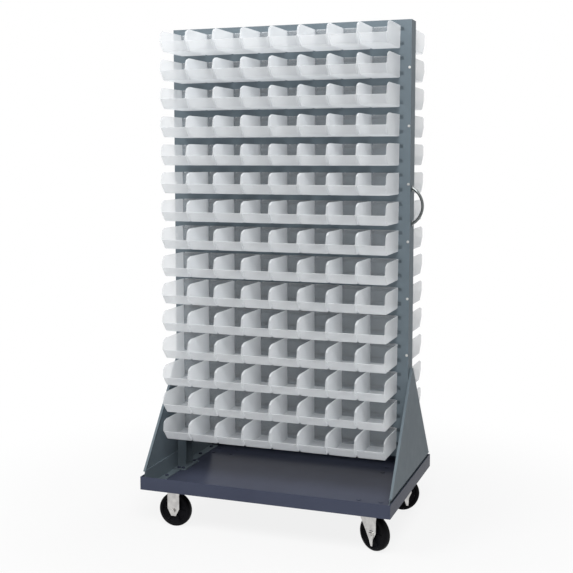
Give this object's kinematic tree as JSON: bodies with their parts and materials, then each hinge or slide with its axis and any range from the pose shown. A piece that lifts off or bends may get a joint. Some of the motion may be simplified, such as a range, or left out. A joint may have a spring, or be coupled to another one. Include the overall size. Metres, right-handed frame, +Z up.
{
  "type": "mobile bin cart",
  "caption": "Double-sided louvered rack on a steel tray with casters, hung with rows of clear hopper bins on both faces and a push handle at one end.",
  "frame": {"origin": "centre of the bounding box in plan, on the floor under the wheels", "axes": "+X towards the end with the push handle, -Y out of the front face of bins, +Z up"},
  "size_m": [0.9678, 0.642, 1.8365],
  "materials": {
    "frame_paint": "satin",
    "tray_paint": "semi-gloss",
    "bin_plastic": "translucent, semi-gloss",
    "zinc_plate": "zinc plated",
    "bright_fasteners": "bright zinc",
    "handle_chrome": "polished",
    "wheel_rubber": "matt"
  },
  "bodies": {
    "cart": {"base_tray": "tray_paint", "left_gusset": "frame_paint", "right_gusset": "frame_paint", "left_post": "frame_paint", "right_post": "frame_paint", "front_louver_panel": "frame_paint", "rear_louver_panel": "frame_paint", "top_rail": "frame_paint", "bottom_rail": "frame_paint", "panel_screws": "bright_fasteners", "base_bolts": "tray_paint", "push_handle": "handle_chrome", "handle_screws": "bright_fasteners", "rigid_fork_front": "zinc_plate", "rigid_fork_rear": "zinc_plate", "rigid_axle_front": "bright_fasteners", "rigid_axle_rear": "bright_fasteners", "swivel_plate_front": "zinc_plate", "swivel_plate_rear": "zinc_plate", "caster_bolts": "tray_paint"},
    "rigid_roller_front": {"rigid_wheel_front": "wheel_rubber"},
    "swivel_yoke_front": {"swivel_fork_front": "zinc_plate", "swivel_axle_front": "bright_fasteners"},
    "swivel_roller_front": {"swivel_wheel_front": "wheel_rubber"},
    "brake_front": {"brake_lever_front": "zinc_plate"},
    "rigid_roller_rear": {"rigid_wheel_rear": "wheel_rubber"},
    "swivel_yoke_rear": {"swivel_fork_rear": "zinc_plate", "swivel_axle_rear": "bright_fasteners"},
    "swivel_roller_rear": {"swivel_wheel_rear": "wheel_rubber"},
    "brake_rear": {"brake_lever_rear": "zinc_plate"},
    "bin_front_row_01": {"bins_front_row_01": "bin_plastic"},
    "bin_front_row_02": {"bins_front_row_02": "bin_plastic"},
    "bin_front_row_03": {"bins_front_row_03": "bin_plastic"},
    "bin_front_row_04": {"bins_front_row_04": "bin_plastic"},
    "bin_front_row_05": {"bins_front_row_05": "bin_plastic"},
    "bin_front_row_06": {"bins_front_row_06": "bin_plastic"},
    "bin_front_row_07": {"bins_front_row_07": "bin_plastic"},
    "bin_front_row_08": {"bins_front_row_08": "bin_plastic"},
    "bin_front_row_09": {"bins_front_row_09": "bin_plastic"},
    "bin_front_row_10": {"bins_front_row_10": "bin_plastic"},
    "bin_front_row_11": {"bins_front_row_11": "bin_plastic"},
    "bin_front_row_12": {"bins_front_row_12": "bin_plastic"},
    "bin_front_row_13": {"bins_front_row_13": "bin_plastic"},
    "bin_front_row_14": {"bins_front_row_14": "bin_plastic"},
    "bin_front_row_15": {"bins_front_row_15": "bin_plastic"},
    "bin_rear_row_01": {"bins_rear_row_01": "bin_plastic"},
    "bin_rear_row_02": {"bins_rear_row_02": "bin_plastic"},
    "bin_rear_row_03": {"bins_rear_row_03": "bin_plastic"},
    "bin_rear_row_04": {"bins_rear_row_04": "bin_plastic"},
    "bin_rear_row_05": {"bins_rear_row_05": "bin_plastic"},
    "bin_rear_row_06": {"bins_rear_row_06": "bin_plastic"},
    "bin_rear_row_07": {"bins_rear_row_07": "bin_plastic"},
    "bin_rear_row_08": {"bins_rear_row_08": "bin_plastic"},
    "bin_rear_row_09": {"bins_rear_row_09": "bin_plastic"},
    "bin_rear_row_10": {"bins_rear_row_10": "bin_plastic"},
    "bin_rear_row_11": {"bins_rear_row_11": "bin_plastic"},
    "bin_rear_row_12": {"bins_rear_row_12": "bin_plastic"},
    "bin_rear_row_13": {"bins_rear_row_13": "bin_plastic"},
    "bin_rear_row_14": {"bins_rear_row_14": "bin_plastic"},
    "bin_rear_row_15": {"bins_rear_row_15": "bin_plastic"}
  },
  "joints": [
    {"name": "rigid_roll_front", "type": "hinge", "parent": "cart", "child": "rigid_roller_front", "pos_m": [-0.38435, -0.233, 0.0625], "axis": [0, 1, 0], "continuous": true},
    {"name": "swivel_front", "type": "hinge", "parent": "cart", "child": "swivel_yoke_front", "pos_m": [0.33965, -0.202, 0.138], "axis": [0, 0, 1], "continuous": true},
    {"name": "swivel_roll_front", "type": "hinge", "parent": "swivel_yoke_front", "child": "swivel_roller_front", "pos_m": [0.37223, -0.21954, 0.0625], "axis": [0.4741, 0.8805, 0], "continuous": true},
    {"name": "brake_front", "type": "hinge", "parent": "swivel_yoke_front", "child": "brake_front", "pos_m": [0.37223, -0.21954, 0.0625], "axis": [0.4741, 0.8805, 0], "range_deg": [-40, 0]},
    {"name": "rigid_roll_rear", "type": "hinge", "parent": "cart", "child": "rigid_roller_rear", "pos_m": [-0.38435, 0.233, 0.0625], "axis": [0, 1, 0], "continuous": true},
    {"name": "swivel_rear", "type": "hinge", "parent": "cart", "child": "swivel_yoke_rear", "pos_m": [0.33965, 0.202, 0.138], "axis": [0, 0, 1], "continuous": true},
    {"name": "swivel_roll_rear", "type": "hinge", "parent": "swivel_yoke_rear", "child": "swivel_roller_rear", "pos_m": [0.36996, 0.22322, 0.0625], "axis": [-0.5736, 0.8192, 0], "continuous": true},
    {"name": "brake_rear", "type": "hinge", "parent": "swivel_yoke_rear", "child": "brake_rear", "pos_m": [0.36996, 0.22322, 0.0625], "axis": [-0.5736, 0.8192, 0], "range_deg": [-40, 0]},
    {"name": "lift_front_row_01", "type": "slide", "parent": "cart", "child": "bin_front_row_01", "axis": [0, 0, 1], "range_m": [0, 0.01]},
    {"name": "lift_front_row_02", "type": "slide", "parent": "cart", "child": "bin_front_row_02", "axis": [0, 0, 1], "range_m": [0, 0.01]},
    {"name": "lift_front_row_03", "type": "slide", "parent": "cart", "child": "bin_front_row_03", "axis": [0, 0, 1], "range_m": [0, 0.01]},
    {"name": "lift_front_row_04", "type": "slide", "parent": "cart", "child": "bin_front_row_04", "axis": [0, 0, 1], "range_m": [0, 0.01]},
    {"name": "lift_front_row_05", "type": "slide", "parent": "cart", "child": "bin_front_row_05", "axis": [0, 0, 1], "range_m": [0, 0.01]},
    {"name": "lift_front_row_06", "type": "slide", "parent": "cart", "child": "bin_front_row_06", "axis": [0, 0, 1], "range_m": [0, 0.01]},
    {"name": "lift_front_row_07", "type": "slide", "parent": "cart", "child": "bin_front_row_07", "axis": [0, 0, 1], "range_m": [0, 0.01]},
    {"name": "lift_front_row_08", "type": "slide", "parent": "cart", "child": "bin_front_row_08", "axis": [0, 0, 1], "range_m": [0, 0.01]},
    {"name": "lift_front_row_09", "type": "slide", "parent": "cart", "child": "bin_front_row_09", "axis": [0, 0, 1], "range_m": [0, 0.01]},
    {"name": "lift_front_row_10", "type": "slide", "parent": "cart", "child": "bin_front_row_10", "axis": [0, 0, 1], "range_m": [0, 0.01]},
    {"name": "lift_front_row_11", "type": "slide", "parent": "cart", "child": "bin_front_row_11", "axis": [0, 0, 1], "range_m": [0, 0.01]},
    {"name": "lift_front_row_12", "type": "slide", "parent": "cart", "child": "bin_front_row_12", "axis": [0, 0, 1], "range_m": [0, 0.01]},
    {"name": "lift_front_row_13", "type": "slide", "parent": "cart", "child": "bin_front_row_13", "axis": [0, 0, 1], "range_m": [0, 0.01]},
    {"name": "lift_front_row_14", "type": "slide", "parent": "cart", "child": "bin_front_row_14", "axis": [0, 0, 1], "range_m": [0, 0.01]},
    {"name": "lift_front_row_15", "type": "slide", "parent": "cart", "child": "bin_front_row_15", "axis": [0, 0, 1], "range_m": [0, 0.01]},
    {"name": "lift_rear_row_01", "type": "slide", "parent": "cart", "child": "bin_rear_row_01", "axis": [0, 0, 1], "range_m": [0, 0.01]},
    {"name": "lift_rear_row_02", "type": "slide", "parent": "cart", "child": "bin_rear_row_02", "axis": [0, 0, 1], "range_m": [0, 0.01]},
    {"name": "lift_rear_row_03", "type": "slide", "parent": "cart", "child": "bin_rear_row_03", "axis": [0, 0, 1], "range_m": [0, 0.01]},
    {"name": "lift_rear_row_04", "type": "slide", "parent": "cart", "child": "bin_rear_row_04", "axis": [0, 0, 1], "range_m": [0, 0.01]},
    {"name": "lift_rear_row_05", "type": "slide", "parent": "cart", "child": "bin_rear_row_05", "axis": [0, 0, 1], "range_m": [0, 0.01]},
    {"name": "lift_rear_row_06", "type": "slide", "parent": "cart", "child": "bin_rear_row_06", "axis": [0, 0, 1], "range_m": [0, 0.01]},
    {"name": "lift_rear_row_07", "type": "slide", "parent": "cart", "child": "bin_rear_row_07", "axis": [0, 0, 1], "range_m": [0, 0.01]},
    {"name": "lift_rear_row_08", "type": "slide", "parent": "cart", "child": "bin_rear_row_08", "axis": [0, 0, 1], "range_m": [0, 0.01]},
    {"name": "lift_rear_row_09", "type": "slide", "parent": "cart", "child": "bin_rear_row_09", "axis": [0, 0, 1], "range_m": [0, 0.01]},
    {"name": "lift_rear_row_10", "type": "slide", "parent": "cart", "child": "bin_rear_row_10", "axis": [0, 0, 1], "range_m": [0, 0.01]},
    {"name": "lift_rear_row_11", "type": "slide", "parent": "cart", "child": "bin_rear_row_11", "axis": [0, 0, 1], "range_m": [0, 0.01]},
    {"name": "lift_rear_row_12", "type": "slide", "parent": "cart", "child": "bin_rear_row_12", "axis": [0, 0, 1], "range_m": [0, 0.01]},
    {"name": "lift_rear_row_13", "type": "slide", "parent": "cart", "child": "bin_rear_row_13", "axis": [0, 0, 1], "range_m": [0, 0.01]},
    {"name": "lift_rear_row_14", "type": "slide", "parent": "cart", "child": "bin_rear_row_14", "axis": [0, 0, 1], "range_m": [0, 0.01]},
    {"name": "lift_rear_row_15", "type": "slide", "parent": "cart", "child": "bin_rear_row_15", "axis": [0, 0, 1], "range_m": [0, 0.01]}
  ]
}
